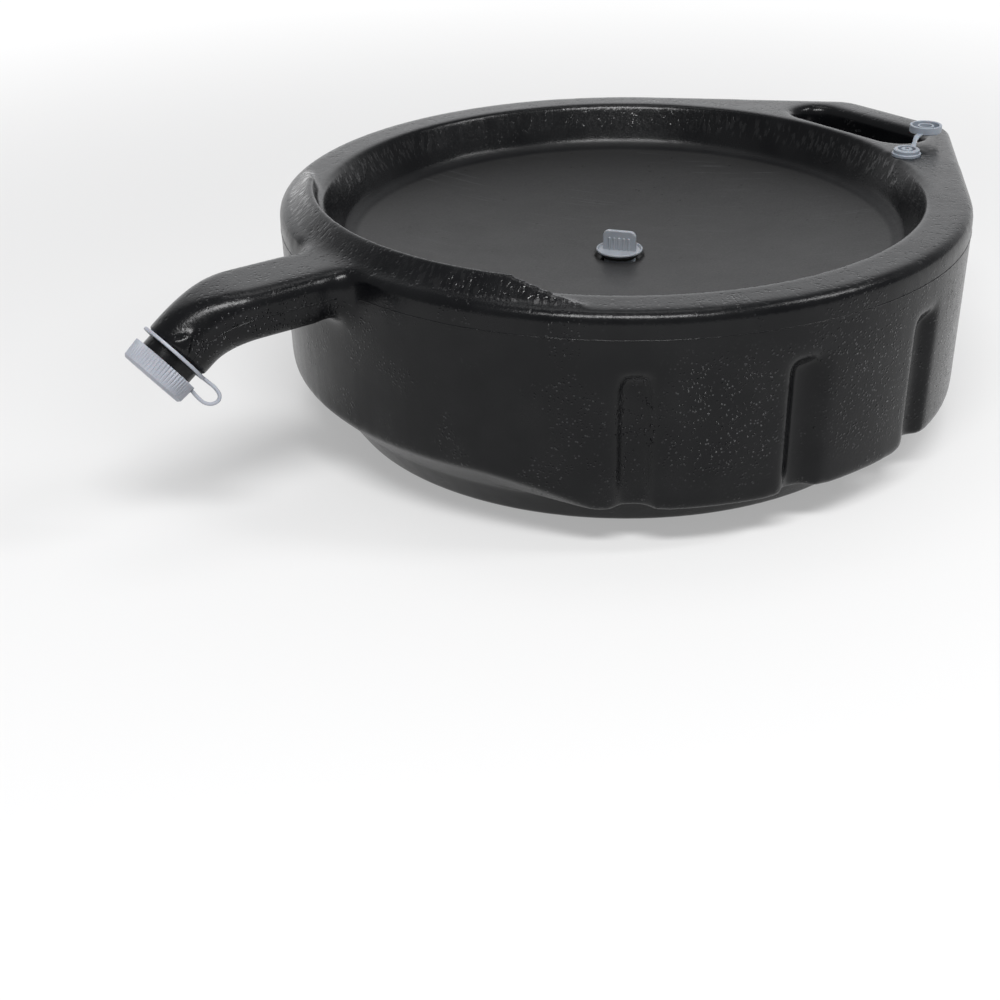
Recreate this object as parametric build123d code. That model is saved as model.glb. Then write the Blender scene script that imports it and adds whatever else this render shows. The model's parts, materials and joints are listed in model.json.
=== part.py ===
from build123d import *
import math
import os

# Oil drain pan with a closed reservoir, millimetres.
# Origin: centre of the round foot, on the floor. +Z up, +X to the handle, -X to the spout.

# reservoir: heights
LIP_Z = 146.3
PART_LINE_Z = 131.0
DRUM_BOTTOM_Z = 25.5
WALL = 2.6

# reservoir: plan
DRUM_R = 221.0
FOOT_R = 184.0
FOOT_TOP_R = 201.5
LIP_ROLL = 7.0
BACK_X = 203.0
HANDLE_X = 264.5
HANDLE_BOTTOM_Z = 117.0
HANDLE_CORNER_R = 26.0
SLOT_OUT_X = 237.5
SLOT_HALF_Y = 55.0

# tray
TRAY_TOP_R = 193.0
TRAY_FLOOR_R = 181.0
TRAY_EDGE_Z = 118.6
TRAY_LEDGE_R = 174.5
TRAY_LEDGE_Z = 117.0
TRAY_CENTRE_Z = 97.5
TRAY_RIM_ROLL = 10.0
TRAY_CORNER_R = 5.0

# drain hole in the tray
SEAT_R = 16.4
SEAT_Z = 94.5
DRAIN_BORE_R = 11.4
DRAIN_BOSS_R = 15.5
DRAIN_BOSS_Z = 84.5

# splash ridge on the lip, round the spout side
RIDGE_Z = 156.8
RIDGE_OUT_R = 213.6
RIDGE_CREST_OUT_R = 201.2
RIDGE_CREST_IN_R = 198.6
RIDGE_TIP_R = 215.0
RIDGE_IN_R = 196.0
RIDGE_HALF_DEG = 33.5
RIDGE_END_DEG = 46.5

# raised underside below the spout
LIFT_Z = 44.5
LIFT_HALF_DEG = 29.5
LIFT_END_DEG = 49.0

# grooves in the wall
GROOVE_DEGS = (53.0, 78.5, 104.0)
GROOVE_TOP_Z = 113.0
GROOVE_W = 25.0
GROOVE_FLOOR_W = 12.5
GROOVE_DEPTH = 7.5

# spout and neck
SPOUT_W = 51.0
SPOUT_H = 30.0
SPOUT_EDGE_R = 10.0
SPOUT_ROOT_X = -203.0
SPOUT_FLARE_R = 9.0
SPOUT_FLARE_X = -218.0
SPOUT_CORNER_X = -293.2
SPOUT_DROP_DEG = 36.0
SPOUT_BEND_R = 62.0
SPOUT_END_D = 39.0
SHOULDER_RUN = 29.3
NECK_R = 16.4
NECK_BORE_R = 13.6
NECK_END = 17.6
THREAD_R = 17.5
THREAD_PITCH = 4.2
THREAD_START = 4.4
LUG_TURN_DEG = 31.0

# spout cap
CAP_OPEN = 8.7
CAP_END = 20.6
CAP_OPEN_R = 20.6
CAP_END_R = 19.8
CAP_BORE_R = 18.1
CAP_RIBS = 60
CAP_RIB_DEPTH = 0.8
LINER_R = 17.7
LINER_T = 1.2
LINER_GAP = 0.1
CAP_THREAD_Z = 1.2
CAP_THREAD_TURN = 0.0

# tether
RING_R = 21.4
RING_BORE_R = 16.8
RING_T = 1.9
RING_GAP = 0.4
STRAP_W = 5.0
STRAP_T = 1.5
STRAP_IN_R = 20.0
STRAP_OUT_R = 36.0
STRAP_TURN_DEG = 31.0

# drain plug
PLUG_FLANGE_R = 15.4
PLUG_FLANGE_Z = 98.4
PLUG_FLANGE_H = 3.4
PLUG_FLANGE_LOW_R = 12.6
PLUG_DISH_Z = 2.2
PLUG_DISH_R = 13.6
PLUG_STEM_R = 10.1
PLUG_STEM_BORE_R = 8.0
PLUG_STEM_Z = 87.0
PLUG_THREAD_R = 10.9
PLUG_WING_W = 22.4
PLUG_WING_T = 3.0
PLUG_WING_H = 13.0
PLUG_RIB_R = 0.95
PLUG_RIB_H = 8.2
PLUG_WING_DEG = -53.5
PLUG_RIBS = 5
PLUG_RIB_STEP = 3.3
PLUG_PITCH = 6.0
SEAL_R = 12.4
SEAL_T = 1.8

# vent
VENT_X = 188.5
VENT_Y = -74.0
VENT_R = 9.6
VENT_CAP_R = 10.8
VENT_CAP_H = 5.0
VENT_CAP_REACH = 34.6
VENT_CAP_DEG = 21.0
VENT_HINGE_Z = 153.1
VENT_SEAT_R = 10.9
VENT_SEAT_DEPTH = 0.8
VENT_SPIGOT_R = 5.0
VENT_SPIGOT_L = 6.5
VENT_STEP_R = 8.6
VENT_WELL_R = 5.9
VENT_NOZZLE_R = 3.8
VENT_HOLE_R = 1.6
VENT_CAP_BORE_R = 9.0
VENT_TUBE_OUT_R = 5.5
VENT_TUBE_IN_R = 4.2
VENT_STRAP_W = 3.8
VENT_STRAP_END = 15.2
VENT_STRAP_Z = 4.6
VENT_STRAP_LOW_Z = 0.5
VENT_STRAP_T = 1.1
VENT_TAB_START = 18.9


def rad(degrees):
    return degrees * math.pi / 180


def plan_outline(inset, back_x, corner_r):
    """Round drum with two straight sides at 45 degrees that run to a straight back edge."""
    r = DRUM_R - inset
    side = r * math.cos(rad(45))
    tip = make_face(Polyline((0, 0), (side, side), (2 * side, 0), (side, -side), close=True))
    shape = Circle(r) + tip
    keep = Pos(back_x - inset - 500, 0) * Rectangle(1000, 1000)
    face = (shape & keep).faces()[0]
    corners = face.vertices().group_by(Axis.X)[-1]
    return fillet(corners, corner_r - inset)


def prism(face, low_z, high_z):
    return Pos(0, 0, low_z) * extrude(face, high_z - low_z)


def ring_profile(points):
    """A closed outline in the XZ plane, turned about the Z axis."""
    return revolve(Plane.XZ * make_face(Polyline(*points, close=True)), Axis.Z)


def lower_drum(inset):
    wall = prism(plan_outline(inset, BACK_X, 26.0), DRUM_BOTTOM_Z + inset, PART_LINE_Z)
    if inset == 0:
        wall = fillet(wall.edges().group_by(Axis.Z)[0], 4.0)
    foot = ring_profile(
        [
            (0, inset),
            (FOOT_R - inset, inset),
            (FOOT_TOP_R - inset, DRUM_BOTTOM_Z + 0.5),
            (FOOT_TOP_R - inset, DRUM_BOTTOM_Z + 8),
            (0, DRUM_BOTTOM_Z + 8),
        ]
    )
    if inset == 0:
        foot = fillet(foot.edges().group_by(Axis.Z)[0], 3.0)
    return wall + foot


def handle_plate(inset):
    """The top layer of the moulding, which carries on past the drum as the handle."""
    low = HANDLE_BOTTOM_Z + inset
    high = LIP_Z - inset
    plate = prism(plan_outline(inset, HANDLE_X, HANDLE_CORNER_R), low, high)
    slot_in_x = BACK_X - inset
    slot_out_x = SLOT_OUT_X + inset
    slot_w = slot_out_x - slot_in_x
    slot_l = 2 * (SLOT_HALF_Y + inset)
    slot = RectangleRounded(slot_w, slot_l, slot_w / 2 - 1.0)
    plate -= prism(Pos((slot_in_x + slot_out_x) / 2, 0) * slot, low - 1, high + 1)
    faces = plate.faces().sort_by(Axis.Z)
    bottom_outer = faces[0].outer_wire().edges()
    top_outer = faces[-1].outer_wire().edges()
    slot_edges = faces[0].inner_wires()[0].edges() + faces[-1].inner_wires()[0].edges()
    plate = fillet(bottom_outer, 11.0 - inset)
    plate = fillet(closest_edges(plate, top_outer), LIP_ROLL - inset)
    return fillet(closest_edges(plate, slot_edges), 6.0 - inset)


def closest_edges(solid, wanted):
    """The edges of a solid that lie where the wanted edges lie."""
    centres = [edge.center() for edge in wanted]
    found = []
    for edge in solid.edges():
        if min((edge.center() - centre).length for centre in centres) < 0.01:
            found.append(edge)
    return ShapeList(found)


def tray_hollow(grow):
    """The dished bowl of the tray, grown outwards and downwards by a wall thickness."""
    top = LIP_Z + 1
    rim = (TRAY_TOP_R + grow, LIP_Z)
    corner = (TRAY_FLOOR_R + grow, TRAY_EDGE_Z - grow)
    ledge = (TRAY_LEDGE_R + grow, TRAY_LEDGE_Z - grow)
    centre = (0, TRAY_CENTRE_Z - grow)
    with BuildSketch() as profile:
        with BuildLine():
            Polyline(centre, (0, top), (TRAY_TOP_R + 12, top), (TRAY_TOP_R + 12, LIP_Z), rim, corner, ledge)
            RadiusArc(ledge, centre, dish_radius())
        make_face()
        points = profile.vertices()
        fillet(points.sort_by_distance(corner)[0], TRAY_CORNER_R)
        fillet(points.sort_by_distance(rim)[0], TRAY_RIM_ROLL)
    return revolve(Plane.XZ * profile.sketch, Axis.Z)


def dish_radius():
    drop = TRAY_LEDGE_Z - TRAY_CENTRE_Z
    return (TRAY_LEDGE_R**2 + drop**2) / (2 * drop)


def groove(degrees, grow):
    """A sloped-sided recess in the wall, open at the bottom."""
    angle = rad(degrees)
    outward = Vector(math.cos(angle), math.sin(angle), 0)
    sideways = Vector(-math.sin(angle), math.cos(angle), 0)
    low_z = 5.0

    def section(r, width, top_z):
        centre = outward * r + Vector(0, 0, (low_z + top_z) / 2)
        return Plane(centre, x_dir=sideways, z_dir=outward) * Rectangle(width, top_z - low_z)

    outer = section(DRUM_R + 1, GROOVE_W + 2 * grow, GROOVE_TOP_Z + grow)
    inner = section(DRUM_R - GROOVE_DEPTH - grow, GROOVE_FLOOR_W + 2 * grow, GROOVE_TOP_Z - 8 + grow)
    recess = loft([inner, outer], ruled=True)
    return fillet(recess.faces().sort_by_distance(Vector(0, 0, 60))[0].edges(), 2.5)


def groove_angles():
    for degrees in GROOVE_DEGS:
        yield 180 - degrees
        yield 180 + degrees


def lift_cut(inset):
    """The bevel under the drum below the spout, with a ramp at each end."""
    shift = inset * math.sqrt(2)
    low_z = DRUM_BOTTOM_Z - 2
    out_r = DRUM_R + 8

    def section(degrees, edge_z):
        toe_r = DRUM_R - edge_z + low_z - shift
        corner_z = out_r - toe_r + low_z
        outline = Polyline((toe_r, low_z), (out_r, low_z), (out_r, corner_z), close=True)
        return Rot(0, 0, 180 + degrees) * (Plane.XZ * make_face(outline))

    start = section(-LIFT_HALF_DEG, LIFT_Z)
    bevel = revolve(start, Axis.Z, 2 * LIFT_HALF_DEG)
    for side in (-1, 1):
        high = section(side * LIFT_HALF_DEG, LIFT_Z)
        low = section(side * LIFT_END_DEG, DRUM_BOTTOM_Z)
        bevel += loft([high, low], ruled=True)
    return bevel


def ridge():
    """The splash ridge: steep towards the tray, sloped outwards, fading out at both ends."""

    def section(degrees, points):
        return Rot(0, 0, 180 + degrees) * (Plane.XZ * make_face(Polyline(*points, close=True)))

    foot_z = LIP_Z - 1.5
    full = [
        (RIDGE_IN_R, foot_z),
        (RIDGE_CREST_IN_R, RIDGE_Z),
        (RIDGE_CREST_OUT_R, RIDGE_Z),
        (RIDGE_OUT_R, LIP_Z),
        (RIDGE_OUT_R, foot_z),
    ]
    tip = [
        (RIDGE_TIP_R - 3.0, foot_z),
        (RIDGE_TIP_R - 2.2, LIP_Z + 0.1),
        (RIDGE_TIP_R - 1.4, LIP_Z + 0.1),
        (RIDGE_TIP_R - 0.4, LIP_Z),
        (RIDGE_TIP_R - 0.4, foot_z),
    ]
    crown = revolve(section(-RIDGE_HALF_DEG, full), Axis.Z, 2 * RIDGE_HALF_DEG)
    crown = fillet(crown.edges().group_by(Axis.Z)[-1], 1.2)
    for side in (-1, 1):
        crown += loft([section(side * RIDGE_HALF_DEG, full), section(side * RIDGE_END_DEG, tip)], ruled=True)
    return crown


def neck_direction():
    drop = rad(SPOUT_DROP_DEG)
    return Vector(-math.cos(drop), 0, -math.sin(drop))


def shoulder_plane():
    """Plane at the end of the spout: local Z runs out along the neck and local Y points down."""
    corner = Vector(SPOUT_CORNER_X, 0, PART_LINE_Z)
    return Plane(corner + neck_direction() * SHOULDER_RUN, x_dir=(0, 1, 0), z_dir=neck_direction())


def spout(inset):
    """Flat oval pipe that turns down and becomes round at the neck."""
    tangent = SPOUT_BEND_R * math.tan(rad(SPOUT_DROP_DEG / 2))
    bend_x = SPOUT_CORNER_X + tangent
    flare_steps = 6
    bend_steps = 12

    def section(centre, degrees, blend, flare=0.0):
        out = Vector(-math.cos(rad(degrees)), 0, -math.sin(rad(degrees)))
        width = SPOUT_W + (SPOUT_END_D - SPOUT_W) * blend - 2 * inset + 2 * flare
        height = SPOUT_H + (SPOUT_END_D - SPOUT_H) * blend - 2 * inset + flare
        corner = SPOUT_EDGE_R + (SPOUT_END_D / 2 - SPOUT_EDGE_R) * blend - inset
        corner = min(corner, width / 2 - 0.1, height / 2 - 0.1)
        lowered = Vector(*centre) - Vector(0, 0, flare / 2)
        return Plane(lowered, x_dir=(0, 1, 0), z_dir=out) * RectangleRounded(width, height, corner)

    sections = [section((SPOUT_ROOT_X, 0, PART_LINE_Z), 0, 0, SPOUT_FLARE_R)]
    for step in range(flare_steps + 1):
        share = step / flare_steps
        flare = SPOUT_FLARE_R * (1 - math.sqrt(1 - (1 - share) ** 2))
        sections.append(section((SPOUT_FLARE_X - SPOUT_FLARE_R * share, 0, PART_LINE_Z), 0, 0, flare))
    for step in range(bend_steps + 1):
        share = step / bend_steps
        degrees = SPOUT_DROP_DEG * share
        x = bend_x - SPOUT_BEND_R * math.sin(rad(degrees))
        z = PART_LINE_Z - SPOUT_BEND_R * (1 - math.cos(rad(degrees)))
        sections.append(section((x, 0, z), degrees, share * share * (3 - 2 * share)))
    sections.append(section(shoulder_plane().origin, SPOUT_DROP_DEG, 1))
    return loft(sections, ruled=True)


def helix_ridge(root_r, crest_r, pitch, height, base_w, crest_w):
    """One thread ridge about local Z. crest_r below root_r gives an internal thread."""
    path = Helix(pitch, height, root_r)
    start = Plane(origin=path @ 0, x_dir=(1, 0, 0), z_dir=path % 0)
    reach = crest_r - root_r
    back = -0.3 * math.copysign(1, reach)
    outline = Polyline(
        (back, -base_w / 2), (0, -base_w / 2), (reach, -crest_w / 2), (reach, crest_w / 2), (0, base_w / 2),
        (back, base_w / 2), close=True,
    )
    return sweep(start * make_face(outline), path=path, is_frenet=True)


def reservoir():
    shell = lower_drum(0) + handle_plate(0) - lift_cut(0)
    for degrees in groove_angles():
        shell -= groove(degrees, 0)
    shell -= tray_hollow(0)
    shell += spout(0)
    shell += ridge()
    shell = fillet(groove_rims(shell), 2.0)
    shell -= cavity()
    shell += drain_boss()
    shell -= Pos(0, 0, SEAT_Z) * extrude(Circle(SEAT_R), 20)
    shell -= Pos(0, 0, DRAIN_BOSS_Z - 1) * extrude(Circle(DRAIN_BORE_R), 30)
    shell -= vent_place() * Pos(0, 0, -VENT_SEAT_DEPTH) * extrude(Circle(VENT_SEAT_R), 10)
    shell -= vent_place() * Pos(0, 0, -20) * extrude(Circle(VENT_SPIGOT_R + 0.05), 30)
    shell += neck()
    shell += shoulder_lug()
    shell -= shoulder_plane() * Pos(0, 0, -8) * extrude(Circle(NECK_BORE_R), NECK_END + 10)
    return shell


def groove_rims(shell):
    """The edges where the grooves meet the wall."""
    rims = []
    for edge in shell.edges():
        centre = edge.center()
        off_wall = abs(math.hypot(centre.X, centre.Y) - DRUM_R)
        degrees = math.degrees(math.atan2(abs(centre.Y), -centre.X))
        near = min(abs(degrees - place) for place in GROOVE_DEGS)
        if off_wall < 1.2 and near < 4 and 20 < centre.Z < GROOVE_TOP_Z + 1.5:
            rims.append(edge)
    return ShapeList(rims)


def cavity():
    """The space inside the moulding, one wall thickness in from the outside."""
    inside = lower_drum(WALL) + handle_plate(WALL) - lift_cut(WALL)
    for degrees in groove_angles():
        inside -= groove(degrees, WALL)
    inside += spout(WALL)
    inside -= tray_hollow(WALL)
    return inside


def drain_boss():
    height = TRAY_CENTRE_Z - DRAIN_BOSS_Z - 1.0
    boss = Pos(0, 0, DRAIN_BOSS_Z) * extrude(Circle(DRAIN_BOSS_R), height)
    seat_h = TRAY_CENTRE_Z - SEAT_Z + WALL - 0.5
    seat_wall = Pos(0, 0, SEAT_Z - WALL) * extrude(Circle(SEAT_R + WALL), seat_h)
    return boss + seat_wall


def neck():
    """Threaded neck, with a conical shoulder inside that joins it to the spout wall."""
    tube = Pos(0, 0, -6) * extrude(Circle(NECK_R), NECK_END + 6)
    tube = fillet(tube.edges().group_by(Axis.Z)[-1], 0.8)
    plug = Pos(0, 0, -5) * extrude(Circle(SPOUT_END_D / 2 - 0.4), 5)
    ridge_z = THREAD_START
    thread = Pos(0, 0, ridge_z) * helix_ridge(NECK_R, THREAD_R, THREAD_PITCH, THREAD_PITCH * 2.1, 1.7, 0.9)
    return shoulder_plane() * (tube + plug + thread)


def shoulder_lug():
    """Small three-sided wedge on the spout, pointing back from the neck."""
    turn = Rot(0, 0, 180 + LUG_TURN_DEG)
    outline = make_face(Polyline((-6.5, 0), (6.5, 0), (0, -12.0), close=True))
    wedge = extrude(Plane.YZ * outline, 4.0)
    return shoulder_plane() * turn * Pos(SPOUT_END_D / 2 - 1.6, 0, -0.4) * wedge


def vent_place():
    """Frame on the lip at the vent: local X points from the socket to the open cap."""
    return Pos(VENT_X, VENT_Y, LIP_Z) * Rot(0, 0, VENT_CAP_DEG)


def spout_cap():
    height = CAP_END - CAP_OPEN
    step = 2 * math.pi / (2 * CAP_RIBS)
    points = []
    for index in range(2 * CAP_RIBS):
        r = CAP_OPEN_R - CAP_RIB_DEPTH * (index % 2)
        points.append((r * math.cos(index * step), r * math.sin(index * step)))
    ribbed = extrude(make_face(Polyline(*points, close=True)), height)
    envelope = ring_profile(
        [(0, 0), (CAP_OPEN_R, 0), (CAP_END_R + 0.1, height - 1.4), (CAP_END_R - 1.2, height), (0, height)]
    )
    plain_end = ring_profile(
        [
            (0, height - 2.0),
            (CAP_END_R, height - 2.0),
            (CAP_END_R, height - 1.3),
            (CAP_END_R - 1.2, height),
            (0, height),
        ]
    )
    depth = NECK_END + LINER_GAP + LINER_T - CAP_OPEN
    cap = (ribbed & envelope) + plain_end - extrude(Circle(CAP_BORE_R), depth)
    thread = helix_ridge(CAP_BORE_R, CAP_BORE_R - 1.1, THREAD_PITCH, THREAD_PITCH * 1.2, 1.6, 0.8)
    cap += Pos(0, 0, CAP_THREAD_Z) * Rot(0, 0, CAP_THREAD_TURN) * thread
    return shoulder_plane() * Pos(0, 0, CAP_OPEN) * cap


def spout_cap_liner():
    disc = extrude(Circle(LINER_R), LINER_T)
    return shoulder_plane() * Pos(0, 0, NECK_END + LINER_GAP) * disc


def cap_tether():
    """Flat ring round the neck, and a looped strap from it to the cap's skirt."""
    ring = extrude(Circle(RING_R) - Circle(RING_BORE_R), RING_T)
    ring = Pos(0, 0, RING_GAP) * fillet(ring.edges().filter_by(GeomType.CIRCLE), 0.4)
    middle_r = (STRAP_IN_R + STRAP_OUT_R) / 2
    low = RING_GAP + 0.1
    high = CAP_OPEN + 3.4
    outer = RectangleRounded(STRAP_OUT_R - STRAP_IN_R, high - low, (high - low) / 2 - 0.2)
    inner_w = STRAP_OUT_R - STRAP_IN_R - 2 * STRAP_T
    inner_h = high - low - 2 * STRAP_T
    inner = RectangleRounded(inner_w, inner_h, inner_h / 2 - 0.2)
    loop = Pos(middle_r, (low + high) / 2) * (outer - inner)
    keep = Pos(CAP_OPEN_R + 0.35 + 20, 0) * Rectangle(40, 60)
    loop = loop & keep
    strap = extrude(Plane.XZ * loop, STRAP_W / 2, both=True)
    root = Pos(RING_R - 1.0, 0, low + STRAP_T / 2) * Box(4.0, STRAP_W, STRAP_T)
    turn = Rot(0, 0, 90 + STRAP_TURN_DEG)
    return shoulder_plane() * (ring + turn * (strap + root))


def drain_plug():
    flange = Pos(0, 0, PLUG_FLANGE_Z) * ring_profile(
        [
            (0, 0),
            (PLUG_FLANGE_LOW_R, 0),
            (PLUG_FLANGE_R, PLUG_FLANGE_H - 1.2),
            (PLUG_FLANGE_R, PLUG_FLANGE_H - 0.4),
            (PLUG_FLANGE_R - 0.4, PLUG_FLANGE_H),
            (PLUG_FLANGE_R - 1.0, PLUG_FLANGE_H),
            (PLUG_DISH_R, PLUG_DISH_Z),
            (0, PLUG_DISH_Z),
        ]
    )
    stem_h = PLUG_FLANGE_Z - PLUG_STEM_Z
    stem = Pos(0, 0, PLUG_STEM_Z) * extrude(Circle(PLUG_STEM_R), stem_h + 0.5)
    turn = helix_ridge(PLUG_STEM_R, PLUG_THREAD_R, PLUG_PITCH, PLUG_PITCH, 1.8, 1.0)
    thread = Pos(0, 0, PLUG_STEM_Z + 1.2) * turn
    top_z = PLUG_FLANGE_Z + PLUG_DISH_Z
    blade = Box(PLUG_WING_W, PLUG_WING_T, PLUG_WING_H + 0.5, align=(Align.CENTER, Align.CENTER, Align.MIN))
    blade = fillet(blade.edges().filter_by(Axis.Y).group_by(Axis.Z)[-1], 4.0)
    blade = fillet(blade.edges().group_by(Axis.Z)[-1], 0.8)
    rib = extrude(Circle(PLUG_RIB_R), PLUG_RIB_H) + Pos(0, 0, PLUG_RIB_H) * Sphere(PLUG_RIB_R)
    for side in (-1, 1):
        for index in range(PLUG_RIBS):
            x = (index - (PLUG_RIBS - 1) / 2) * PLUG_RIB_STEP
            blade += Pos(x, side * PLUG_WING_T / 2, 0) * rib
    wing = Rot(0, 0, PLUG_WING_DEG) * Pos(0, 0, top_z - 0.5) * blade
    plug = flange + stem + thread + wing
    return plug - Pos(0, 0, PLUG_STEM_Z - 1) * extrude(Circle(PLUG_STEM_BORE_R), stem_h - 1)


def drain_plug_seal():
    ring = extrude(Circle(SEAL_R) - Circle(PLUG_STEM_R + 0.02), SEAL_T)
    ring = fillet(ring.edges().group_by(Axis.Z)[0].sort_by(Edge.length)[-1], 0.8)
    return Pos(0, 0, PLUG_FLANGE_Z - SEAL_T) * ring


def vent_base():
    low = -VENT_SEAT_DEPTH
    socket = ring_profile(
        [
            (VENT_HOLE_R, low - VENT_SPIGOT_L),
            (VENT_SPIGOT_R - 0.8, low - VENT_SPIGOT_L),
            (VENT_SPIGOT_R, low - VENT_SPIGOT_L + 1.5),
            (VENT_SPIGOT_R, low),
            (VENT_R, low),
            (VENT_R, low + 1.6),
            (VENT_R - 0.5, low + 2.1),
            (VENT_STEP_R, low + 2.1),
            (VENT_STEP_R, low + 3.9),
            (VENT_STEP_R - 0.6, low + 4.5),
            (VENT_WELL_R, low + 4.5),
            (VENT_WELL_R, low + 1.5),
            (VENT_NOZZLE_R, low + 1.5),
            (VENT_NOZZLE_R, low + 4.2),
            (VENT_NOZZLE_R - 0.5, low + 4.7),
            (VENT_HOLE_R, low + 4.7),
        ]
    )
    return vent_place() * socket


def vent_strap():
    """The socket's half of the strap: it clears the closed cap's rim, then rises to the hinge."""
    t = VENT_STRAP_T
    outline = Polyline(
        (VENT_STEP_R + 0.2, VENT_STRAP_LOW_Z),
        (VENT_CAP_R + 0.9, VENT_STRAP_LOW_Z),
        (VENT_STRAP_END, VENT_STRAP_Z - t),
        (VENT_STRAP_END, VENT_STRAP_Z),
        (VENT_CAP_R + 0.5, VENT_STRAP_LOW_Z + t),
        (VENT_STEP_R + 0.2, VENT_STRAP_LOW_Z + t),
        close=True,
    )
    return vent_place() * extrude(Plane.XZ * make_face(outline), VENT_STRAP_W / 2, both=True)


def vent_cap():
    """Snap cap, open side up, with its own half of the strap."""
    floor_z = VENT_HINGE_Z - LIP_Z - 0.1
    cup = ring_profile(
        [
            (0, 0),
            (VENT_CAP_R - 0.5, 0),
            (VENT_CAP_R, 0.5),
            (VENT_CAP_R, VENT_CAP_H - 0.3),
            (VENT_CAP_R - 0.3, VENT_CAP_H),
            (VENT_CAP_BORE_R + 0.3, VENT_CAP_H),
            (VENT_CAP_BORE_R, VENT_CAP_H - 0.3),
            (VENT_CAP_BORE_R, 1.3),
            (VENT_TUBE_OUT_R, 1.3),
            (VENT_TUBE_OUT_R, 4.3),
            (VENT_TUBE_IN_R, 4.3),
            (VENT_TUBE_IN_R, 1.3),
            (0, 1.3),
        ]
    )
    reach = VENT_CAP_REACH - VENT_CAP_R - VENT_TAB_START
    corner = (Align.MIN, Align.CENTER, Align.MIN)
    tab = Pos(VENT_TAB_START, 0, 0) * Box(reach + 1.0, VENT_STRAP_W, VENT_STRAP_T, align=corner)
    return vent_place() * Pos(0, 0, floor_z) * (Pos(VENT_CAP_REACH, 0, 0) * cup + tab)


def main():
    os.makedirs("parts", exist_ok=True)
    pieces = {
        "reservoir": reservoir(),
        "drain_plug": drain_plug(),
        "drain_plug_seal": drain_plug_seal(),
        "spout_cap": spout_cap(),
        "spout_cap_liner": spout_cap_liner(),
        "cap_tether": cap_tether(),
        "vent_base": vent_base(),
        "vent_strap": vent_strap(),
        "vent_cap": vent_cap(),
    }
    for name, piece in pieces.items():
        export_step(piece, os.path.join("parts", name + ".step"))


main()
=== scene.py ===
import json
import math
import random

import bmesh
import bpy
import numpy as np
from mathutils import Matrix, Vector
from mathutils.bvhtree import BVHTree


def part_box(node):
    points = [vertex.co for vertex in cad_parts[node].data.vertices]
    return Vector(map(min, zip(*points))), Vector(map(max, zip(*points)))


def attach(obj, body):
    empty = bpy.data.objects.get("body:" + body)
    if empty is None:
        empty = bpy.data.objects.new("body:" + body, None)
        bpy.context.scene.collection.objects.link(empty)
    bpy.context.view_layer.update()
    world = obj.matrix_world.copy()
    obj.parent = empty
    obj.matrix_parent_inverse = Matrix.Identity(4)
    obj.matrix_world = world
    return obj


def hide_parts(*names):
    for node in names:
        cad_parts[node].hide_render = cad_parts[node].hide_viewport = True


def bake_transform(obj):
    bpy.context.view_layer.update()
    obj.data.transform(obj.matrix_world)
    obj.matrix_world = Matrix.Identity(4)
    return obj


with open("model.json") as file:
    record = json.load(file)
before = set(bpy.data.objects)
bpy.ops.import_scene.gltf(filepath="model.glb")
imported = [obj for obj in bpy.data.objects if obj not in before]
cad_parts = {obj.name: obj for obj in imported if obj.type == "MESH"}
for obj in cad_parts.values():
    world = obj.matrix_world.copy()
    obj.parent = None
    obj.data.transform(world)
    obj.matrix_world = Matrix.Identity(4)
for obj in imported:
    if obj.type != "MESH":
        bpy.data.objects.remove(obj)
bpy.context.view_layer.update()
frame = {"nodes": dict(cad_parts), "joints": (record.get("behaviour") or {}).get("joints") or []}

MM = 0.001

# the photograph's viewpoint, in a frame turned about Z from the part's
VIEW_TURN = math.radians(-34.5)
VIEW_PLACE = Vector((-0.08387, -0.923195, 0.440437))
VIEW_DROP = 0.521
VIEW_ROLL = -0.026
VIEW_LENS = 52.45

# the studio is bright behind the part and dark in front of it
WORLD_FRONT = 0.32
WORLD_BACK = 1.25
WORLD_FADE = (0.42, 0.96)
WORLD_COLOUR = (0.98, 0.985, 1.0, 1.0)
FLOOR_REACH = 60.0

BLACK = (0.0022, 0.0024, 0.0030, 1.0)
BLACK_DULLED = (0.0170, 0.0170, 0.0172, 1.0)
BLACK_DUSTY = (0.0165, 0.0168, 0.0175, 1.0)
BLACK_SPECK = (0.004, 0.004, 0.004, 1.0)
SCRATCH = (0.045, 0.046, 0.048, 1.0)
# a lighter colour painted on the blisters' tops, as a highlight
PAINTED_GLINT = (0.042, 0.043, 0.047, 1.0)

# bands of the drum, as low and high radii or heights, that carry marks of their own
MEAN_R = 0.2
LIP_R = (0.2035, 0.2135)
RIDGE_R = (0.2025, 0.2155)
TRAY_WALL_R = (0.1850, 0.1960)
TRAY_WALL_Z = (0.1290, 0.1425)
TRAY_CORNER_R = (0.174, 0.185)

# blisters on the wall: the patch's angles in radians, its soft edge, its heights, and how dense it is
BLISTER_PATCHES = (
    ((-2.13, -1.86), 0.07, (0.050, 0.116), 1.0),
    ((-1.68, -1.42), 0.10, (0.050, 0.124), 0.75),
    ((-1.24, -0.80), 0.10, (0.030, 0.124), 0.85),
)

# the skin's grid, and how much each place is smoothed, 0 to 1
SKIN_GRID = 1.8 * MM
SMOOTH_ROUNDS = 60
SOFT_EVERYWHERE = 0.045
SOFT_SPOUT_ROOT = 0.55
SOFT_SPOUT_TOP = 0.18
SOFT_GROOVE = 0.17
SOFT_RIDGE = 0.06
SOFT_LOW_EDGE = 0.10
SOFT_HANDLE = 0.10
GROOVE_DEGS = (53.0, 78.5, 104.0)
GROOVE_HALF_DEG = 5.4

# stoppers that close the drain hole and the vent's seat while the skin is made
DRAIN_STOPPER_Z = 85.5 * MM
DRAIN_STOPPER_R = 13.5 * MM
DRAIN_STOPPER_DEPTH = 1.9 * MM
VENT_STOPPER_Z = 144.6 * MM
VENT_STOPPER_R = 7.0 * MM
VENT_STOPPER_DEPTH = 1.4 * MM

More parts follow.
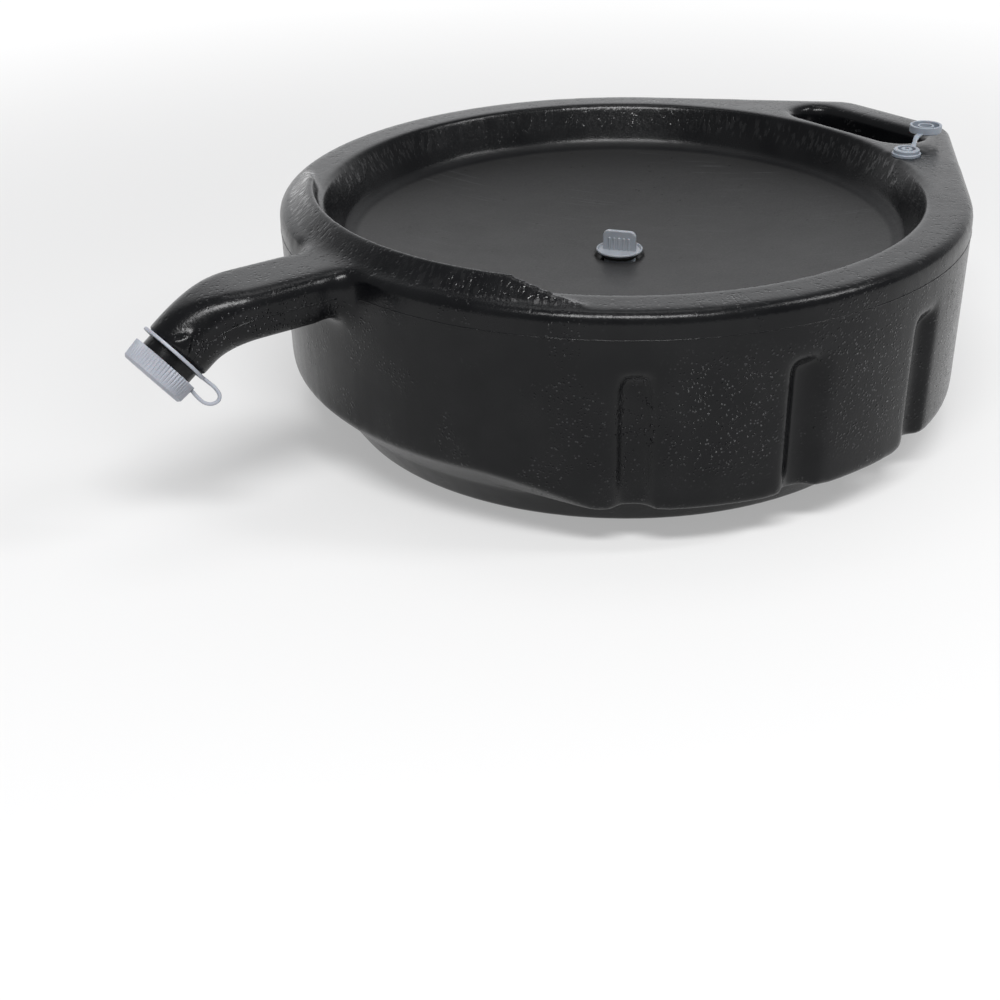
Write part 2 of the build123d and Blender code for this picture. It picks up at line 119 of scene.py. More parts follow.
PARTING_Z = 131.0 * MM
PARTING_STEPS = 900
PARTING_GAP_DEG = 9.0
DRUM_RAY = 0.6
SPOUT_RAY = 0.2
FLASH_ROOT = -0.5 * MM

SPOUT_BEND_R = 62.0 * MM
SPOUT_ROOT_X = -228.0 * MM
SPOUT_STEPS = 18
NECK_STEPS = 8


def joint_named(name):
    return next(joint for joint in frame["joints"] if joint["name"] == name)


# the neck's frame: it starts at the spout's shoulder and runs out along the pouring axis
NECK_DROP = math.radians(36.0)
NECK_OUT = Vector((-math.cos(NECK_DROP), 0, -math.sin(NECK_DROP)))
NECK_DOWN = Vector((math.sin(NECK_DROP), 0, -math.cos(NECK_DROP)))
NECK_SIDE = Vector((0, 1, 0))
SHOULDER = Vector(joint_named("neck_turn")["pos_m"])

# the tether's ring, and the corners of the straps' rounded cross-section
RING_INNER_R = 16.8 * MM
RING_OUTER_R = 21.4 * MM
RING_LOW = 0.4 * MM
RING_HIGH = 2.3 * MM
RING_EDGE = 0.45 * MM
RING_STEPS = 96
BAND_CORNERS = 16


# ---------------------------------------------------------------- materials

class Shader:
    """A material's node tree, with short calls for the nodes that it needs."""

    def __init__(self, name):
        self.material = bpy.data.materials.new(name)
        self.material.use_nodes = True
        self.tree = self.material.node_tree
        self.bsdf = self.tree.nodes["Principled BSDF"]
        self.place = self.add("ShaderNodeTexCoord").outputs["Object"]

    def add(self, kind, **settings):
        node = self.tree.nodes.new(kind)
        for key, value in settings.items():
            setattr(node, key, value)
        return node

    def feed(self, socket, value):
        if isinstance(value, bpy.types.NodeSocket):
            self.tree.links.new(value, socket)
        else:
            socket.default_value = value

    def put(self, name, value):
        """Gives one of the surface's own settings a number, a colour or a link."""
        self.feed(self.bsdf.inputs[name], value)

    def math(self, operation, *values):
        node = self.add("ShaderNodeMath", operation=operation)
        for socket, value in zip(node.inputs, values):
            self.feed(socket, value)
        return node.outputs[0]

    def total(self, *values):
        result = values[0]
        for value in values[1:]:
            result = self.math("ADD", result, value)
        return result

    def times(self, *values):
        result = values[0]
        for value in values[1:]:
            result = self.math("MULTIPLY", result, value)
        return result

    def from_axis(self, x, y):
        """Distance from the Z axis."""
        return self.math("SQRT", self.total(self.times(x, x), self.times(y, y)))

    def xyz(self, vector=None):
        node = self.add("ShaderNodeSeparateXYZ")
        self.feed(node.inputs[0], vector or self.place)
        return node.outputs[0], node.outputs[1], node.outputs[2]

    def vector(self, x, y, z):
        node = self.add("ShaderNodeCombineXYZ")
        for socket, value in zip(node.inputs, (x, y, z)):
            self.feed(socket, value)
        return node.outputs[0]

    def noise(self, size, detail=2.0, vector=None):
        """Noise of 0 to 1 whose features are about size metres across."""
        node = self.add("ShaderNodeTexNoise")
        self.feed(node.inputs["Vector"], vector or self.place)
        node.inputs["Scale"].default_value = 1 / size
        node.inputs["Detail"].default_value = detail
        return node.outputs["Fac"]

    def cells(self, size):
        """Distance from the nearest of many scattered points, which are about size metres apart."""
        node = self.add("ShaderNodeTexVoronoi")
        self.feed(node.inputs["Vector"], self.place)
        node.inputs["Scale"].default_value = 1 / size
        return node.outputs["Distance"]

    def ramp(self, value, low, high, out_low=0.0, out_high=1.0):
        """Smooth step of value from low to high."""
        node = self.add("ShaderNodeMapRange", interpolation_type="SMOOTHSTEP")
        for socket, number in zip(node.inputs, (value, low, high, out_low, out_high)):
            self.feed(socket, number)
        return node.outputs[0]

    def band(self, value, low, high, soft):
        """1 between low and high, and 0 outside, with soft edges."""
        rise = self.ramp(value, low - soft, low + soft)
        fall = self.ramp(value, high - soft, high + soft, 1.0, 0.0)
        return self.math("MULTIPLY", rise, fall)

    def mix(self, share, first, second):
        node = self.add("ShaderNodeMix", data_type="RGBA")
        self.feed(node.inputs[0], share)
        self.feed(node.inputs[6], first)
        self.feed(node.inputs[7], second)
        return node.outputs[2]

    def bump(self, height, depth):
        """Bump whose height of 0 to 1 stands for depth metres. Returns the bent normal."""
        node = self.add("ShaderNodeBump")
        node.inputs["Strength"].default_value = 1.0
        node.inputs["Distance"].default_value = depth
        self.feed(node.inputs["Height"], height)
        self.put("Normal", node.outputs[0])
        return node.outputs[0]


class DrumShader(Shader):
    """A shader with the drum's own coordinates, and the marks that the black moulding carries."""

    def __init__(self, name):
        super().__init__(name)
        self.x, y, self.z = self.xyz()
        self.radius = self.from_axis(self.x, y)
        self.angle = self.math("ARCTAN2", y, self.x)
        self.round_way = self.times(self.angle, MEAN_R)
        self.upward = self.xyz(self.add("ShaderNodeNewGeometry").outputs["Normal"])[2]
        self.faces_up = self.ramp(self.upward, 0.55, 0.92)
        self.off_tray = self.ramp(self.radius, 0.194, 0.200)

    def blister_share(self):
        """Where the wall and the spout's side have blisters: dense in patches, thin elsewhere."""
        patches = []
        for angles, edge, heights, density in BLISTER_PATCHES:
            across = self.band(self.angle, *angles, edge)
            patches.append(self.times(across, self.band(self.z, *heights, 0.016), density))
        along_spout = self.band(self.x, -0.316, -0.262, 0.012)
        patches.append(self.times(along_spout, self.band(self.z, 0.108, 0.137, 0.006)))
        thin = self.times(self.ramp(self.noise(0.035), 0.50, 0.62), 0.45)
        on_wall = self.ramp(self.upward, 0.25, 0.5, 1.0, 0.0)
        return self.times(self.math("MAXIMUM", self.total(*patches), thin), on_wall)

    def lip_marks(self):
        """Short radial marks on the lip, in patches."""
        patchy = self.ramp(self.noise(0.05, 3.0), 0.42, 0.66)
        on_lip = self.times(self.band(self.radius, *LIP_R, 0.003), self.ramp(self.z, 0.1440, 0.1458))
        radial = self.vector(self.round_way, self.times(self.radius, 0.22), 0.0)
        marks = self.ramp(self.noise(0.0022, 2.0, radial), 0.56, 0.68)
        return self.times(marks, self.times(on_lip, patchy))

    def streaks(self):
        """Drips on the splash ridge, fainter at its ends, and down the tray's wall."""
        down = self.vector(self.round_way, self.times(self.z, 0.30), self.times(self.radius, 0.30))
        drips = self.ramp(self.noise(0.0024, 2.5, down), 0.50, 0.62)
        ridge = self.times(self.band(self.radius, *RIDGE_R, 0.0015), self.ramp(self.z, 0.1464, 0.1470))
        to_ridge_end = self.ramp(self.math("ABSOLUTE", self.angle), 2.70, 2.95, 1.0, 0.25)
        ridge = self.times(ridge, to_ridge_end)
        wall = self.times(self.band(self.radius, *TRAY_WALL_R, 0.002), self.band(self.z, *TRAY_WALL_Z, 0.003))
        return self.times(drips, self.math("MAXIMUM", ridge, wall))

    def tray_areas(self):
        """The tray's floor, and the rounded corner where its wall starts."""
        above_foot = self.ramp(self.z, 0.09, 0.092)
        floor = self.times(self.ramp(self.radius, 0.172, 0.176, 1.0, 0.0), above_foot)
        corner = self.times(self.band(self.radius, *TRAY_CORNER_R, 0.002), above_foot)
        return floor, self.times(corner, self.ramp(self.z, 0.119, 0.123, 1.0, 0.0))

    def scratches(self, tray_floor):
        """Fine straight scratches across the tray's floor, in patches."""
        turned = self.add("ShaderNodeMapping")
        self.feed(turned.inputs["Vector"], self.place)
        turned.inputs["Rotation"].default_value = (0, 0, math.radians(52))
        along, across, _ = self.xyz(turned.outputs[0])
        lines = self.noise(0.0011, 2.0, self.vector(self.times(along, 0.012), across, 0.0))
        patchy = self.ramp(self.noise(0.04, 1.0), 0.42, 0.58)
        return self.times(self.ramp(lines, 0.64, 0.73), tray_floor, patchy)

    def specks(self):
        """Small dark specks on what faces up."""
        spots = self.ramp(self.cells(0.007), 0.10, 0.16, 1.0, 0.0)
        return self.times(spots, self.ramp(self.noise(0.02, 1.0), 0.5, 0.62), self.faces_up)

    def dents(self):
        """Shallow dents on the lip and along the top of the spout."""
        pits = self.ramp(self.cells(0.0034), 0.20, 0.40, 1.0, 0.0)
        patchy = self.ramp(self.noise(0.009), 0.44, 0.56)
        return self.times(pits, patchy, self.faces_up, self.off_tray)


def black_moulding():
    """Black blow-moulded plastic: glossy and pebbled, duller on the tray's floor."""
    look = DrumShader("black_hdpe_grained")
    pebble = look.noise(0.0013, 3.0)
    fine = look.noise(0.0006, 1.0)
    waves = look.noise(0.03)
    tray_floor, tray_corner = look.tray_areas()
    marks = look.lip_marks()
    streaks = look.streaks()
    scratches = look.scratches(tray_floor)
    specks = look.specks()

    # each blister is a small bump, and its top has a painted highlight (a lighter colour) under a glossy coat
    share = look.blister_share()
    blister_cells = look.cells(0.0021)
    blisters = look.ramp(blister_cells, 0.18, 0.42, 1.0, 0.0)
    blisters = look.times(blisters, share, look.ramp(look.noise(0.006, 1.0), 0.42, 0.55))
    glint_paint_and_gloss = look.ramp(blister_cells, 0.14, 0.34, 1.0, 0.0)
    glint_paint_and_gloss = look.times(glint_paint_and_gloss, share, look.ramp(look.noise(0.0036, 1.0), 0.46, 0.56))

    dusty = look.times(look.ramp(waves, 0.35, 0.7), 0.35)
    colour = look.mix(look.times(tray_floor, 0.8), BLACK, BLACK_DULLED)
    colour = look.mix(look.times(dusty, 0.5), colour, BLACK_DUSTY)
    colour = look.mix(look.times(scratches, 0.9), colour, SCRATCH)
    colour = look.mix(look.times(specks, 0.8), colour, BLACK_SPECK)
    # painted highlight: the tops of the blisters are given a lighter colour
    look.put("Base Color", look.mix(look.times(glint_paint_and_gloss, 0.6), colour, PAINTED_GLINT))

    rough = look.total(
        look.times(tray_floor, 0.17),
        look.times(tray_corner, 0.24),
        look.times(look.ramp(pebble, 0.3, 0.7), 0.06),
        look.times(waves, 0.08),
        0.165,
    )
    shiny = look.times(look.total(blisters, streaks, marks), 0.10)
    look.put("Roughness", look.math("SUBTRACT", rough, shiny))
    look.put("IOR", 1.30)
    look.put("Specular IOR Level", 0.5)
    look.put("Coat Weight", look.total(glint_paint_and_gloss, look.times(streaks, 0.6)))
    look.put("Coat Roughness", 0.10)

    height = look.total(
        look.times(pebble, look.math("SUBTRACT", 0.19, look.times(tray_floor, 0.11))),
        look.times(fine, 0.03),
        look.times(waves, 0.9),
        look.times(blisters, 1.45),
        look.times(streaks, 0.24),
        look.times(marks, -0.35),
        look.times(scratches, -0.05),
        look.times(specks, -0.2),
        look.times(look.dents(), -0.45),
        look.times(pebble, look.faces_up, look.off_tray, 0.12),
    )
    look.put("Coat Normal", look.bump(height, 0.4 * MM))
    return look.material


def grey_plastic(name, colour, dark, roughness, grain):
    """Injection-moulded grey plastic with faint flow marks, and grain metres of bump."""
    look = Shader(name)
    flow = look.noise(0.012, 3.0)
    fine = look.noise(0.0007)
    shade = look.mix(look.ramp(flow, 0.3, 0.75), dark, colour)
    mottle = look.ramp(look.noise(0.0028, 3.0), 0.6, 0.75)
    look.put("Base Color", look.mix(look.times(mottle, 0.25), shade, dark))
    look.put("Roughness", look.total(look.times(flow, 0.10), look.times(fine, 0.06), roughness))
    look.put("Subsurface Weight", 0.06)
    look.put("Subsurface Scale", 0.002)
    look.bump(look.total(look.times(fine, 0.5), look.times(flow, 0.5)), grain)
    return look.material


def seal_rubber():
    look = Shader("seal_rubber_matt")
    look.put("Base Color", look.mix(look.noise(0.004), (0.012, 0.012, 0.012, 1), (0.022, 0.022, 0.021, 1)))
    look.put("Roughness", look.ramp(look.noise(0.001), 0.2, 0.8, 0.6, 0.8))
    look.bump(look.noise(0.0008), 0.08 * MM)
    return look.material


def liner_foam():
    look = Shader("liner_foam_white")
    pores = look.cells(0.0009)
    look.put("Base Color", look.mix(pores, (0.55, 0.55, 0.53, 1), (0.74, 0.74, 0.71, 1)))
    look.put("Roughness", look.ramp(pores, 0.0, 0.6, 0.9, 0.6))
    look.bump(pores, 0.12 * MM)
    return look.material


def studio_floor():
    """White paper with a painted glow: it gives off light a little, more so further from the part."""
    look = Shader("floor_white_painted_glow")
    look.put("Base Color", (0.42, 0.42, 0.42, 1.0))
    look.put("Roughness", 0.9)
    look.put("Specular IOR Level", 0.1)
    x, y, _ = look.xyz()
    look.put("Emission Color", (1.0, 1.0, 1.0, 1.0))
    look.put("Emission Strength", look.ramp(look.from_axis(x, y), 0.35, 1.8, 0.36, 0.80))
    return look.material


def paint(thing, material):
    thing.data.materials.clear()
    thing.data.materials.append(material)


# ---------------------------------------------------------------- studio

def studio_world():
    """A white surround whose strength depends on the direction, in the viewer's frame."""
    world = bpy.data.worlds.new("studio")
    bpy.context.scene.world = world
    world.use_nodes = True
    tree = world.node_tree
    background = tree.nodes["Background"]
    background.inputs["Color"].default_value = WORLD_COLOUR
    ahead = tree.nodes.new("ShaderNodeVectorMath")
    ahead.operation = "DOT_PRODUCT"
    ahead.inputs[1].default_value = (-math.sin(VIEW_TURN), math.cos(VIEW_TURN), 0.0)
    tree.links.new(tree.nodes.new("ShaderNodeTexCoord").outputs["Generated"], ahead.inputs[0])
    fade = tree.nodes.new("ShaderNodeMapRange")
    fade.interpolation_type = "SMOOTHSTEP"
    for socket, number in zip(fade.inputs[1:5], (*WORLD_FADE, WORLD_FRONT, WORLD_BACK)):
        socket.default_value = number
    tree.links.new(ahead.outputs["Value"], fade.inputs["Value"])
    tree.links.new(fade.outputs[0], background.inputs["Strength"])


def studio():
    bpy.context.scene.view_settings.view_transform = "Standard"
    studio_world()
    mesh = bpy.data.meshes.new("studio_floor")
    form = bmesh.new()
    bmesh.ops.create_grid(form, x_segments=2, y_segments=2, size=FLOOR_REACH)
    form.to_mesh(mesh)
    form.free()
    floor = bpy.data.objects.new("studio_floor", mesh)
    bpy.context.scene.collection.objects.link(floor)
    paint(floor, studio_floor())

    softbox("overhead_box", (0.0, 0.30, 1.75), (0.0, 0.0, 0.1), 0.9, 0.5, 2.2)
    softbox("front_key", (-0.05, -0.92, 1.45), (0.0, 0.0, 0.12), 1.0, 0.30, 27.0)
    softbox("right_strip", (1.22, -0.28, 1.40), (0.1, -0.1, 0.12), 0.26, 0.60, 18.0)


def softbox(name, place, target, width, depth, radiance):
    """An area light at a place in the viewer's frame, which looks at a target there."""
    turn = Matrix.Rotation(VIEW_TURN, 4, "Z")
    data = bpy.data.lights.new(name, "AREA")
    data.shape = "RECTANGLE"
    data.size = width
    data.size_y = depth
    data.energy = math.pi * width * depth * radiance
    lamp = bpy.data.objects.new(name, data)
    bpy.context.scene.collection.objects.link(lamp)
    start = turn @ Vector(place)
    lamp.location = start
    lamp.rotation_mode = "QUATERNION"
    lamp.rotation_quaternion = (turn @ Vector(target) - start).to_track_quat("-Z", "Y")


def viewpoint():
    turn = Matrix.Rotation(VIEW_TURN, 3, "Z")
    ahead = turn @ Vector((0, math.cos(VIEW_DROP), -math.sin(VIEW_DROP)))
    level = turn @ Vector((1, 0, 0))
    upright = level.cross(ahead)
    right = level * math.cos(VIEW_ROLL) + upright * math.sin(VIEW_ROLL)
    up = right.cross(ahead)
    camera_data = bpy.data.cameras.new("viewpoint")
    camera_data.sensor_width = 36.0
    camera_data.lens = VIEW_LENS
    camera_data.clip_start = 0.05
    camera_data.clip_end = 50.0
    camera = bpy.data.objects.new("viewpoint", camera_data)
    bpy.context.scene.collection.objects.link(camera)
    camera.location = turn @ VIEW_PLACE
    camera.rotation_mode = "QUATERNION"
    camera.rotation_quaternion = Matrix((right, up, -ahead)).transposed().to_quaternion()
    bpy.context.scene.camera = camera


# ---------------------------------------------------------------- the moulding's skin

def reservoir_form():
    """The moulding's CAD surface as a bmesh with joined corners."""
    form = bmesh.new()
    form.from_mesh(frame["nodes"]["reservoir"].data)
    bmesh.ops.remove_doubles(form, verts=form.verts[:], dist=1e-6)
    return form


def cut_at_shoulder(form, keep_neck):
    everything = form.verts[:] + form.edges[:] + form.faces[:]
    bmesh.ops.bisect_plane(
        form,
        geom=everything,
        dist=1e-7,
        plane_co=SHOULDER + NECK_OUT * 0.02 * MM,
        plane_no=NECK_OUT,
        clear_outer=not keep_neck,
        clear_inner=keep_neck,
    )


def stopper(form, place, radius, depth):
    """A short closed cylinder that seals a hole, so that only the outside is remeshed."""
    bmesh.ops.create_cone(
        form,
        cap_ends=True,
        segments=32,
        radius1=radius,
        radius2=radius,
        depth=depth,
        matrix=Matrix.Translation(place),
    )


def linked(name, mesh, body, material):
    thing = bpy.data.objects.new(name, mesh)
    bpy.context.scene.collection.objects.link(thing)
    paint(thing, material)
    for face in mesh.polygons:
        face.use_smooth = True
    if body:
        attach(thing, body)
    return thing


def mesh_from(form, name):
    """The form as a new mesh. The form is used up."""
    mesh = bpy.data.meshes.new(name)
    form.to_mesh(mesh)
    form.free()
    return mesh


def remeshed(form):
    """The form as an even grid of small faces."""
    holder = bpy.data.objects.new("rough", mesh_from(form, "rough"))
    bpy.context.scene.collection.objects.link(holder)
    modifier = holder.modifiers.new("grid", "REMESH")
    modifier.mode = "VOXEL"
    modifier.voxel_size = SKIN_GRID
    evaluated = holder.evaluated_get(bpy.context.evaluated_depsgraph_get())
    mesh = bpy.data.meshes.new_from_object(evaluated)
    bpy.data.objects.remove(holder)
    return mesh


def soft_step(value, low, high):
    share = np.clip((value - low) / (high - low), 0, 1)
    return share * share * (3 - 2 * share)


def between(value, low, high, edge):
    return soft_step(value, low - edge, low + edge) * (1 - soft_step(value, high - edge, high + edge))


def vent_centre():
    vent_low, vent_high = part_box("vent_base")
    return (vent_low + vent_high) / 2


def softness(points):
    """How much each point of the skin is smoothed, 0 to 1: most where walls flow together."""
    x, y, z = points.T
    radius = np.hypot(x, y)
    from_spout = np.degrees(np.abs(np.arctan2(y, -x)))

    root = between(x, -0.236, -0.208, 0.004)
    ridge = between(from_spout, 28, 50, 2) * between(radius, 0.194, 0.220, 0.002)
    places = [
        (SOFT_SPOUT_ROOT, root * between(y, -0.052, 0.052, 0.006) * between(z, 0.090, 0.1405, 0.004)),
        (SOFT_SPOUT_TOP, root * between(y, -0.040, 0.040, 0.006) * between(z, 0.138, 0.150, 0.003)),
        (SOFT_RIDGE, ridge * between(z, 0.1455, 0.157, 0.001)),
        (SOFT_LOW_EDGE, between(radius, 0.190, 0.230, 0.006) * between(z, 0.016, 0.052, 0.006)),
        (SOFT_HANDLE, soft_step(x, 0.198, 0.206)),
    ]
    for groove in GROOVE_DEGS:
        near = between(from_spout, groove - GROOVE_HALF_DEG, groove + GROOVE_HALF_DEG, 1.2)
        near = near * between(radius, 0.205, 0.226, 0.002)
        places.append((SOFT_GROOVE, near * between(z, 0.020, 0.121, 0.004)))
    soft = np.full(len(points), SOFT_EVERYWHERE)
    for amount, share in places:
        soft = np.maximum(soft, amount * share)

    # the seats of the plug and the vent stay as they are, and so does the spout's end, nearly
    drain = soft_step(radius, 0.017, 0.024)
    vent = vent_centre()
    vent_gap = soft_step(np.hypot(x - vent.x, y - vent.y), 0.0115, 0.018)
    along = (points - np.array(SHOULDER)) @ np.array(NECK_OUT)
    spout_end = 1 - 0.75 * soft_step(along, -0.024, -0.012)
    return soft * drain * vent_gap * spout_end


def smoothed(mesh):
    """Moves the skin's points towards their neighbours, by as much as each place is soft."""
    count = len(mesh.vertices)
    flat = np.zeros(count * 3)
    mesh.vertices.foreach_get("co", flat)
    points = flat.reshape(-1, 3)
    ends = np.zeros(len(mesh.edges) * 2, int)
    mesh.edges.foreach_get("vertices", ends)
    first, second = ends.reshape(-1, 2).T
    neighbours = np.bincount(first, minlength=count) + np.bincount(second, minlength=count)
    pull = softness(points)
    for _ in range(SMOOTH_ROUNDS):
        for axis in range(3):
            line = points[:, axis]
            sums = np.bincount(first, line[second], count) + np.bincount(second, line[first], count)
            points[:, axis] = line + pull * (sums / neighbours - line)
    mesh.vertices.foreach_set("co", points.ravel())
    mesh.update()


def moulding(material):
    """The outside of the blow moulding, with the soft corners that such a moulding has."""
    form = reservoir_form()
    cut_at_shoulder(form, keep_neck=False)
    open_edges = [edge for edge in form.edges if len(edge.link_faces) == 1]
    bmesh.ops.holes_fill(form, edges=open_edges, sides=0)
    stopper(form, (0, 0, DRAIN_STOPPER_Z), DRAIN_STOPPER_R, DRAIN_STOPPER_DEPTH)
    vent = vent_centre()
    stopper(form, (vent.x, vent.y, VENT_STOPPER_Z), VENT_STOPPER_R, VENT_STOPPER_DEPTH)
    mesh = remeshed(form)
    smoothed(mesh)
    skin = linked("moulded_skin", mesh, "pan", material)
    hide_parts("reservoir")
    return skin


def neck(material):
    """The threaded neck, as the CAD has it."""
    form = reservoir_form()
    cut_at_shoulder(form, keep_neck=True)
    mesh = mesh_from(form, "threaded_neck")
    linked("threaded_neck", mesh, "pan", material)
    mesh.set_sharp_from_angle(angle=math.radians(35))


# ---------------------------------------------------------------- parting line

def surface_tree(thing):
    form = bmesh.new()
    form.from_mesh(thing.data)
    tree = BVHTree.FromBMesh(form)
    form.free()
    return tree


def drum_points(tree):
    """Points and normals level round the drum, except where the spout leaves it."""
    line = []
    for step in range(PARTING_STEPS + 1):
        angle = math.radians(-180 + PARTING_GAP_DEG + (360 - 2 * PARTING_GAP_DEG) * step / PARTING_STEPS)
        out = Vector((math.cos(angle), math.sin(angle), 0))
        hit, normal, _, _ = tree.ray_cast(out * DRUM_RAY + Vector((0, 0, PARTING_Z)), -out)
        line.append((hit, normal))
    return line


def spout_points(tree, side):
    """Points and normals along one side of the spout. The side is -1 or 1 along Y."""
    line = []
    for centre in spout_stations():
        hit, normal, _, _ = tree.ray_cast(centre + Vector((0, side * SPOUT_RAY, 0)), Vector((0, -side, 0)))
        if hit:
            line.append((hit, normal))
    return line


def spout_stations():
    """Points along the middle of the spout, from its root to its shoulder."""
    corner_run = SPOUT_BEND_R * math.tan(NECK_DROP / 2)
    corner = Vector((SHOULDER.x, 0, SHOULDER.z)) - NECK_OUT * ((SHOULDER.z - PARTING_Z) / NECK_OUT.z)
    start = corner.x + corner_run
    stations = []
    for step in range(SPOUT_STEPS + 1):
        x = SPOUT_ROOT_X + (start - SPOUT_ROOT_X) * step / SPOUT_STEPS
        stations.append(Vector((x, 0, PARTING_Z)))
    for step in range(1, SPOUT_STEPS + 1):
        angle = NECK_DROP * step / SPOUT_STEPS
        drop = SPOUT_BEND_R * (1 - math.cos(angle))
        stations.append(Vector((start - SPOUT_BEND_R * math.sin(angle), 0, PARTING_Z - drop)))
    last = stations[-1]
    for step in range(1, NECK_STEPS + 1):
        stations.append(last.lerp(SHOULDER - NECK_OUT * 1.2 * MM, step / NECK_STEPS))
    return stations


def flash_ribbon(name, line, material):
    """A low sharp bead along a line on the skin, uneven as trimmed flash is."""
    dice = random.Random(7)
    form = bmesh.new()
    rows = []
    for index, (point, normal) in enumerate(line):
        before = line[max(index - 1, 0)][0]
        after = line[min(index + 1, len(line) - 1)][0]
        along = (after - before).normalized()
        across = normal.cross(along).normalized()
        height = (0.20 + 0.16 * dice.random()) * MM
        half = (0.55 + 0.15 * dice.random()) * MM
        shift = across * (dice.random() - 0.5) * 0.25 * MM
        profile = (
            (-1.0, FLASH_ROOT),
            (-0.45, height * 0.7),
            (0, height),
            (0.45, height * 0.7),
            (1.0, FLASH_ROOT),
        )
        row = []
        for place, lift in profile:
            row.append(form.verts.new(point + shift + across * half * place + normal * lift))
        rows.append(row)
    skinned(name, form, rows, "pan", material)


def skinned(name, form, rows, body, material):
    """A piece with faces between rows of corners, and with both ends closed."""
    for first, second in zip(rows, rows[1:]):
        for corner in range(len(first)):
            ahead = (corner + 1) % len(first)
            form.faces.new((first[corner], first[ahead], second[ahead], second[corner]))
    form.faces.new(rows[0])
    form.faces.new(rows[-1][::-1])
    bmesh.ops.recalc_face_normals(form, faces=form.faces[:])
    return linked(name, mesh_from(form, name), body, material)


def parting_line(skin, material):
    """Where the two halves of the mould met: round the drum, and along the spout's sides."""
    tree = surface_tree(skin)
    flash_ribbon("parting_line_drum", drum_points(tree), material)
    flash_ribbon("parting_line_spout_right", spout_points(tree, -1), material)
    flash_ribbon("parting_line_spout_left", spout_points(tree, 1), material)


# ---------------------------------------------------------------- rings and straps

def lathe(name, outline, steps, to_place, body, material):
    """A closed outline of (radius, height) points turned about an axis, then put in place."""
    form = bmesh.new()
    rings = []
    for step in range(steps):
        angle = 2 * math.pi * step / steps
        rings.append(
            [form.verts.new(to_place(r * math.cos(angle), r * math.sin(angle), h)) for r, h in outline]
        )
    for index, ring in enumerate(rings):
        following = rings[(index + 1) % steps]
        for corner in range(len(outline)):
            ahead = (corner + 1) % len(outline)
            form.faces.new((ring[corner], ring[ahead], following[ahead], following[corner]))
    bmesh.ops.recalc_face_normals(form, faces=form.faces[:])
    thing = linked(name, mesh_from(form, name), body, material)
    thing.data.set_sharp_from_angle(angle=math.radians(50))
    return thing


def smooth_path(points, per_span):
    """A Catmull-Rom curve through given points."""
    ends = [points[0] * 2 - points[1], *points, points[-1] * 2 - points[-2]]
    path = []
    for a, b, c, d in zip(ends, ends[1:], ends[2:], ends[3:]):
        for step in range(per_span):
            t = step / per_span
            square = (2 * a - 5 * b + 4 * c - d) * t**2
            cube = (3 * b - a - 3 * c + d) * t**3
            path.append(0.5 * (2 * b + (c - a) * t + square + cube))
    path.append(points[-1])
    return path


def band(name, path, sideways, widths, thickness, material):
    """A moulded strap along a path, with rounded edges, whose width changes along the way."""
    form = bmesh.new()
    rows = []
    for index, point in enumerate(path):
        before = path[max(index - 1, 0)]
        after = path[min(index + 1, len(path) - 1)]
        lift = sideways.cross((after - before).normalized()).normalized()
        share = index / (len(path) - 1) * (len(widths) - 1)
        low = min(int(share), len(widths) - 2)
        half = (widths[low] + (widths[low + 1] - widths[low]) * (share - low)) / 2
        row = []
        for corner in range(BAND_CORNERS):
            angle = 2 * math.pi * (corner + 0.5) / BAND_CORNERS
            wide, high = math.cos(angle), math.sin(angle)
            wide = math.copysign(abs(wide) ** 0.35, wide) * half
            high = math.copysign(abs(high) ** 0.55, high) * thickness / 2
            row.append(form.verts.new(point + sideways * wide + lift * high))
        rows.append(row)
    return skinned(name, form, rows, None, material)


def neck_place(x, y, z):
    return SHOULDER + NECK_SIDE * x + NECK_DOWN * y + NECK_OUT * z


def tether_ring(material):
    """The flat ring round the neck, with eased edges."""
    inner, outer, low, high, edge = RING_INNER_R, RING_OUTER_R, RING_LOW, RING_HIGH, RING_EDGE
    outline = [
        (inner, low + edge),
        (inner + edge * 0.4, low),
        (outer - edge, low),
        (outer - edge * 0.3, low + edge * 0.3),
        (outer, low + edge),
        (outer, high - edge),
        (outer - edge * 0.3, high - edge * 0.3),
        (outer - edge, high),
        (inner + edge, high),
        (inner, high - edge),
    ]
    ring = lathe("tether_ring", outline, RING_STEPS, neck_place, "tether", material)
    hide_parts("cap_tether")


def tether_strap(material):
    """The looped strap from the ring to the cap, placed by radius and height in mm from the shoulder."""
    turn = math.radians(31.0)
    out = NECK_SIDE * -math.sin(turn) + NECK_DOWN * math.cos(turn)
    route = [
        (19.0, 1.35),
        (24.0, 1.05),
        (29.0, 1.0),
        (33.3, 2.3),
        (34.9, 5.4),
        (33.2, 9.2),
        (29.6, 11.2),
        (25.2, 11.3),
        (20.3, 10.7),
    ]
    points = [SHOULDER + out * (r * MM) + NECK_OUT * (s * MM) for r, s in route]
    path = smooth_path(points, 8)
    sideways = out.cross(NECK_OUT).normalized()
    widths = [7.0 * MM, 6.4 * MM, 6.0 * MM, 6.0 * MM, 6.0 * MM, 6.0 * MM]
    strap = band("tether_strap", path, sideways, widths, 2.1 * MM, material)
    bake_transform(strap)


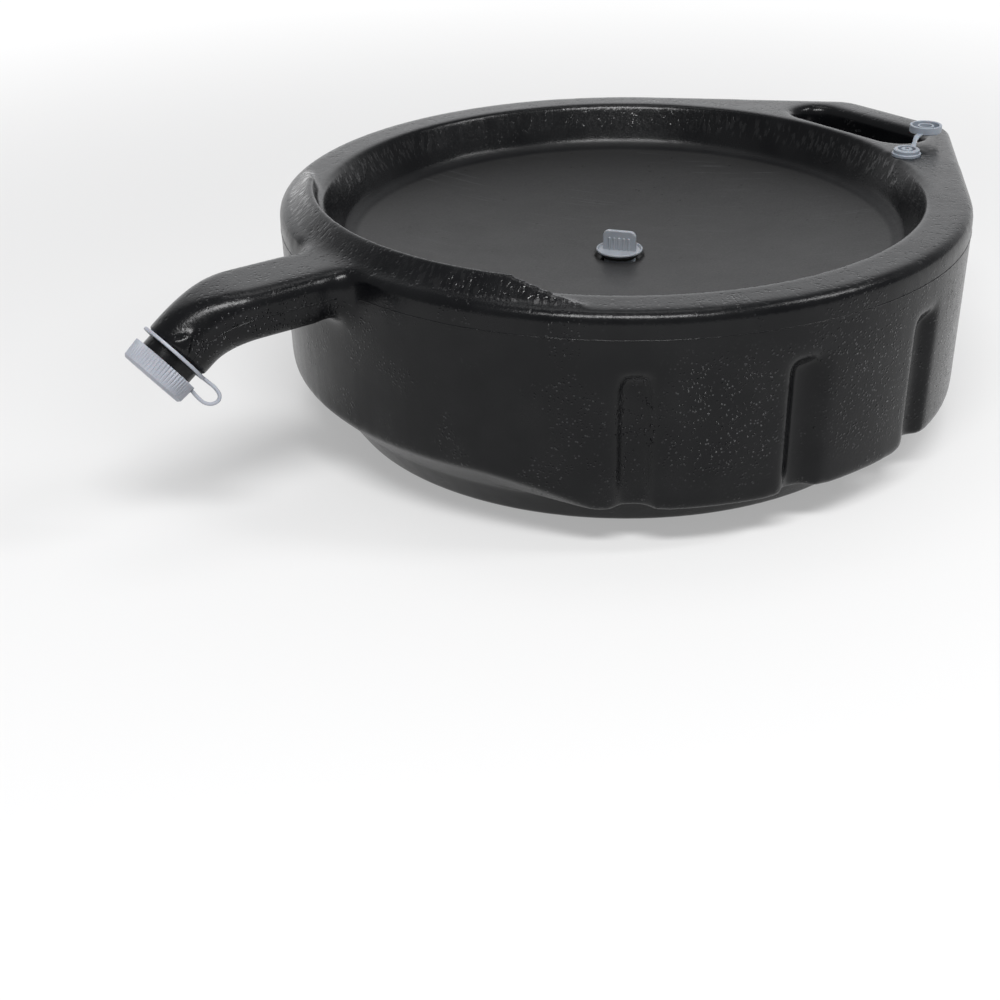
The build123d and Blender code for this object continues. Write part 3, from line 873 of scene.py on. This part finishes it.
def vent_band(material):
    """The thin strap from the vent's socket to its open cap, placed by mm out and up from the hinge."""
    flip = joint_named("vent_flip")
    axis = Vector(flip["axis"])
    out = Vector((-axis.y, axis.x, 0))
    hinge = Vector(flip["pos_m"])
    route = [
        (-9.6, -5.9),
        (-7.6, -5.6),
        (-5.2, -5.1),
        (-2.9, -3.2),
        (-0.9, -0.8),
        (1.6, 0.35),
        (4.2, 0.5),
        (7.4, 0.5),
    ]
    points = [hinge + out * (r * MM) + Vector((0, 0, z * MM)) for r, z in route]
    path = smooth_path(points, 6)
    widths = [5.6 * MM, 4.6 * MM, 3.4 * MM, 3.0 * MM, 3.8 * MM, 4.2 * MM, 4.4 * MM]
    strap = band("vent_strap_band", path, axis, widths, 1.3 * MM, material)
    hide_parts("vent_strap")
    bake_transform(strap)


# ---------------------------------------------------------------- assembly

def greys():
    """The greys of the cap, the plug and the vent."""
    cap = grey_plastic(
        "cap_grey_satin",
        colour=(0.325, 0.34, 0.382, 1),
        dark=(0.29, 0.305, 0.345, 1),
        roughness=0.38,
        grain=0.06 * MM,
    )
    plug = grey_plastic(
        "plug_grey_satin",
        colour=(0.265, 0.283, 0.312, 1),
        dark=(0.22, 0.238, 0.265, 1),
        roughness=0.42,
        grain=0.08 * MM,
    )
    vent = grey_plastic(
        "vent_grey_satin",
        colour=(0.24, 0.268, 0.305, 1),
        dark=(0.205, 0.23, 0.27, 1),
        roughness=0.36,
        grain=0.06 * MM,
    )
    return cap, plug, vent


def main():
    studio()
    viewpoint()
    nodes = frame["nodes"]
    black = black_moulding()
    cap_grey, plug_grey, vent_grey = greys()
    skin = moulding(black)
    neck(black)
    parting_line(skin, black)
    tether_ring(cap_grey)
    tether_strap(cap_grey)
    vent_band(vent_grey)
    paint(nodes["spout_cap"], cap_grey)
    paint(nodes["spout_cap_liner"], liner_foam())
    paint(nodes["drain_plug"], plug_grey)
    paint(nodes["drain_plug_seal"], seal_rubber())
    for name in ("vent_base", "vent_cap"):
        paint(nodes[name], vent_grey)


main()
